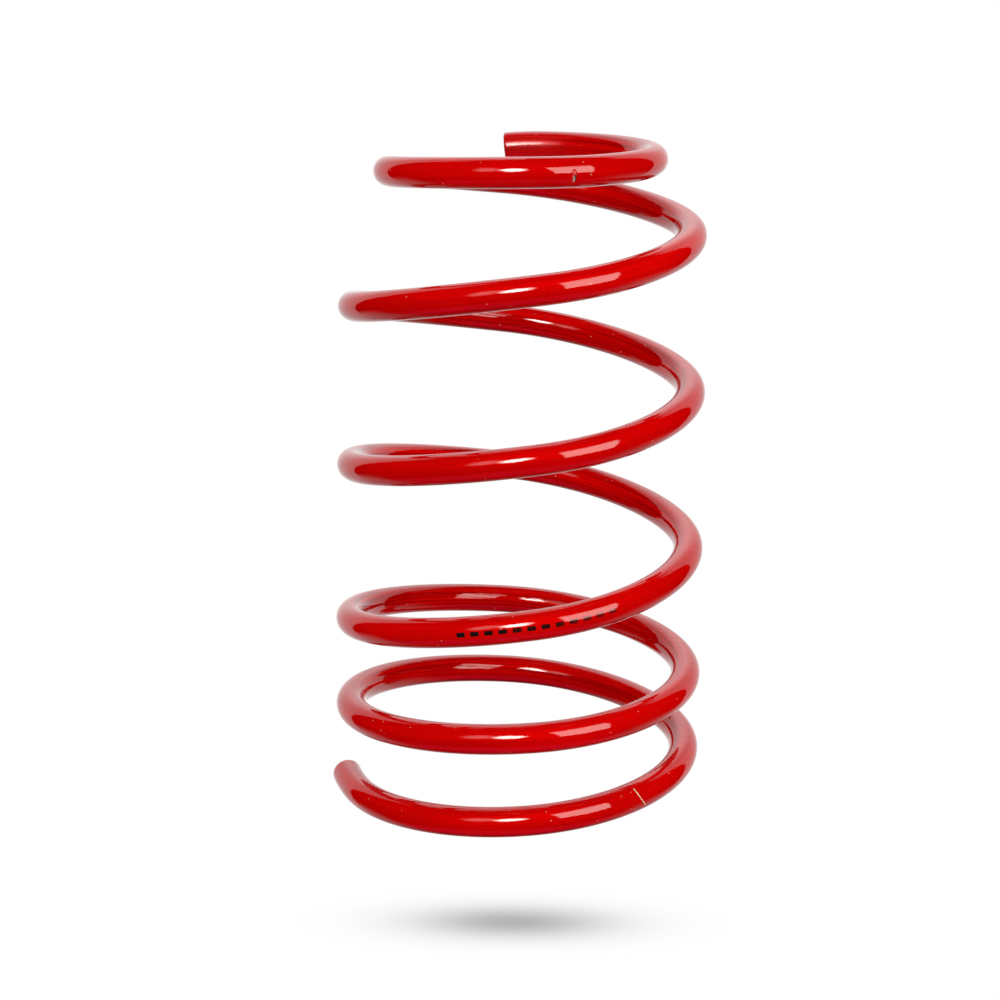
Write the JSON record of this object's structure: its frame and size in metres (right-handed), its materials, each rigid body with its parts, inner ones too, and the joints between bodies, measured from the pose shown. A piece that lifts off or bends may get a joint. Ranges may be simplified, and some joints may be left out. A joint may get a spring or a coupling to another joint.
{
  "type": "coil spring",
  "caption": "Helical compression spring of round bar with wide working coils, closer coils towards its open lower end and a smaller closed coil at the top.",
  "frame": {"origin": "on the coil's axis, level with the lowest point of the bar", "axes": "+Z along the coil's axis towards the small closed end; the bar's lower end lies towards -X"},
  "size_m": [0.159, 0.1576, 0.281],
  "materials": {
    "red_coating": "thick glossy red powder coat over spring steel"
  },
  "bodies": {
    "lower_end": {"lower_tip": "red_coating", "coil_1_front_left": "red_coating", "coil_1_front_right": "red_coating", "coil_1_back_right": "red_coating"},
    "coil_1_back_left": {"coil_1_back_left": "red_coating"},
    "coil_2_front_left": {"coil_2_front_left": "red_coating"},
    "coil_2_front_right": {"coil_2_front_right": "red_coating"},
    "coil_2_back_right": {"coil_2_back_right": "red_coating"},
    "coil_2_back_left": {"coil_2_back_left": "red_coating"},
    "coil_3_front_left": {"coil_3_front_left": "red_coating"},
    "coil_3_front_right": {"coil_3_front_right": "red_coating"},
    "coil_3_back_right": {"coil_3_back_right": "red_coating"},
    "coil_3_back_left": {"coil_3_back_left": "red_coating"},
    "coil_4_front_left": {"coil_4_front_left": "red_coating"},
    "coil_4_front_right": {"coil_4_front_right": "red_coating"},
    "coil_4_back_right": {"coil_4_back_right": "red_coating"},
    "coil_4_back_left": {"coil_4_back_left": "red_coating"},
    "coil_5_front_left": {"coil_5_front_left": "red_coating"},
    "coil_5_front_right": {"coil_5_front_right": "red_coating"},
    "coil_5_back_right": {"coil_5_back_right": "red_coating"},
    "coil_5_back_left": {"coil_5_back_left": "red_coating"},
    "upper_end": {"coil_6_front_left": "red_coating", "coil_6_front_right": "red_coating", "coil_6_back_right": "red_coating", "upper_tip": "red_coating"}
  },
  "joints": [
    {"name": "twist_1_back_left", "type": "hinge", "parent": "lower_end", "child": "coil_1_back_left", "pos_m": [-0.00565, 0.07228, 0.03048], "axis": [0.9946, 0.0807, -0.0651], "range_deg": [0, 2.12], "stiffness_Nm_per_rad": 94},
    {"name": "twist_2_front_left", "type": "hinge", "parent": "coil_1_back_left", "child": "coil_2_front_left", "pos_m": [-0.07226, -0.00585, 0.03911], "axis": [-0.0769, 0.9956, -0.0537], "range_deg": [0, 1.51], "stiffness_Nm_per_rad": 89},
    {"name": "twist_2_front_right", "type": "hinge", "parent": "coil_2_front_left", "child": "coil_2_front_right", "pos_m": [0.00605, -0.07225, 0.0469], "axis": [-0.9948, -0.0868, -0.053], "range_deg": [0, 2.62], "stiffness_Nm_per_rad": 83},
    {"name": "twist_2_back_right", "type": "hinge", "parent": "coil_2_front_right", "child": "coil_2_back_right", "pos_m": [0.07223, 0.00624, 0.05498], "axis": [0.0827, -0.9949, -0.0583], "range_deg": [0, 5.59], "stiffness_Nm_per_rad": 77},
    {"name": "twist_2_back_left", "type": "hinge", "parent": "coil_2_back_right", "child": "coil_2_back_left", "pos_m": [-0.00644, 0.0722, 0.06442], "axis": [0.9932, 0.0929, -0.0708], "range_deg": [0, 4.19], "stiffness_Nm_per_rad": 72},
    {"name": "twist_3_front_left", "type": "hinge", "parent": "coil_2_back_left", "child": "coil_3_front_left", "pos_m": [-0.0721, -0.00663, 0.07769], "axis": [-0.0915, 0.9896, -0.1114], "range_deg": [0, 9.59], "stiffness_Nm_per_rad": 66},
    {"name": "twist_3_front_right", "type": "hinge", "parent": "coil_3_front_left", "child": "coil_3_front_right", "pos_m": [0.00681, -0.07194, 0.09459], "axis": [-0.9881, -0.0959, -0.1199], "range_deg": [0, 8.68], "stiffness_Nm_per_rad": 57},
    {"name": "compression", "type": "hinge", "parent": "coil_3_front_right", "child": "coil_3_back_right", "pos_m": [0.07174, 0.00699, 0.1115], "axis": [0.0957, -0.989, -0.1125], "range_deg": [0, 11.4], "stiffness_Nm_per_rad": 15900},
    {"name": "twist_3_back_left", "type": "hinge", "parent": "coil_3_back_right", "child": "coil_3_back_left", "pos_m": [-0.00717, 0.07151, 0.1284], "axis": [0.9874, 0.1034, -0.1195], "range_deg": [0, 9.76], "stiffness_Nm_per_rad": 43},
    {"name": "twist_4_front_left", "type": "hinge", "parent": "coil_3_back_left", "child": "coil_4_front_left", "pos_m": [-0.07127, -0.00734, 0.14531], "axis": [-0.0998, 0.9884, -0.1145], "range_deg": [0, 10.85], "stiffness_Nm_per_rad": 40},
    {"name": "twist_4_front_right", "type": "hinge", "parent": "coil_4_front_left", "child": "coil_4_front_right", "pos_m": [0.00751, -0.07102, 0.16221], "axis": [-0.9868, -0.1099, -0.1187], "range_deg": [0, 10.23], "stiffness_Nm_per_rad": 35},
    {"name": "twist_4_back_right", "type": "hinge", "parent": "coil_4_front_right", "child": "coil_4_back_right", "pos_m": [0.07079, 0.00768, 0.17912], "axis": [0.1043, -0.9876, -0.1171], "range_deg": [0, 10.36], "stiffness_Nm_per_rad": 25},
    {"name": "twist_4_back_left", "type": "hinge", "parent": "coil_4_back_right", "child": "coil_4_back_left", "pos_m": [-0.00785, 0.07059, 0.19602], "axis": [0.9864, 0.1151, -0.1174], "range_deg": [0, 10.87], "stiffness_Nm_per_rad": 22},
    {"name": "twist_5_front_left", "type": "hinge", "parent": "coil_4_back_left", "child": "coil_5_front_left", "pos_m": [-0.07043, -0.00803, 0.21293], "axis": [-0.1093, 0.9868, -0.1195], "range_deg": [0, 9.94], "stiffness_Nm_per_rad": 24},
    {"name": "twist_5_front_right", "type": "hinge", "parent": "coil_5_front_left", "child": "coil_5_front_right", "pos_m": [0.00821, -0.07033, 0.22968], "axis": [-0.9864, -0.1188, -0.1139], "range_deg": [0, 10.2], "stiffness_Nm_per_rad": 19},
    {"name": "twist_5_back_right", "type": "hinge", "parent": "coil_5_front_right", "child": "coil_5_back_right", "pos_m": [0.06944, 0.0083, 0.2451], "axis": [0.1256, -0.9867, -0.1029], "range_deg": [0, 8.29], "stiffness_Nm_per_rad": 12},
    {"name": "twist_5_back_left", "type": "hinge", "parent": "coil_5_back_right", "child": "coil_5_back_left", "pos_m": [-0.0077, 0.06295, 0.25889], "axis": [0.9736, 0.208, -0.0935], "range_deg": [0, 4.2], "stiffness_Nm_per_rad": 8.7},
    {"name": "twist_upper_end", "type": "hinge", "parent": "coil_5_back_left", "child": "upper_end", "pos_m": [-0.05539, -0.00693, 0.26872], "axis": [-0.1598, 0.9844, -0.0742], "range_deg": [0, 3.99], "stiffness_Nm_per_rad": 7.1}
  ],
  "couplings": [
    {"joint": "twist_1_back_left", "follows": "compression", "ratio": 0.1858},
    {"joint": "twist_2_front_left", "follows": "compression", "ratio": 0.132},
    {"joint": "twist_2_front_right", "follows": "compression", "ratio": 0.229},
    {"joint": "twist_2_back_right", "follows": "compression", "ratio": 0.4901},
    {"joint": "twist_2_back_left", "follows": "compression", "ratio": 0.3673},
    {"joint": "twist_3_front_left", "follows": "compression", "ratio": 0.8404},
    {"joint": "twist_3_front_right", "follows": "compression", "ratio": 0.761},
    {"joint": "twist_3_back_left", "follows": "compression", "ratio": 0.856},
    {"joint": "twist_4_front_left", "follows": "compression", "ratio": 0.9517},
    {"joint": "twist_4_front_right", "follows": "compression", "ratio": 0.8967},
    {"joint": "twist_4_back_right", "follows": "compression", "ratio": 0.9085},
    {"joint": "twist_4_back_left", "follows": "compression", "ratio": 0.9532},
    {"joint": "twist_5_front_left", "follows": "compression", "ratio": 0.8716},
    {"joint": "twist_5_front_right", "follows": "compression", "ratio": 0.8946},
    {"joint": "twist_5_back_right", "follows": "compression", "ratio": 0.727},
    {"joint": "twist_5_back_left", "follows": "compression", "ratio": 0.3682},
    {"joint": "twist_upper_end", "follows": "compression", "ratio": 0.3495}
  ]
}
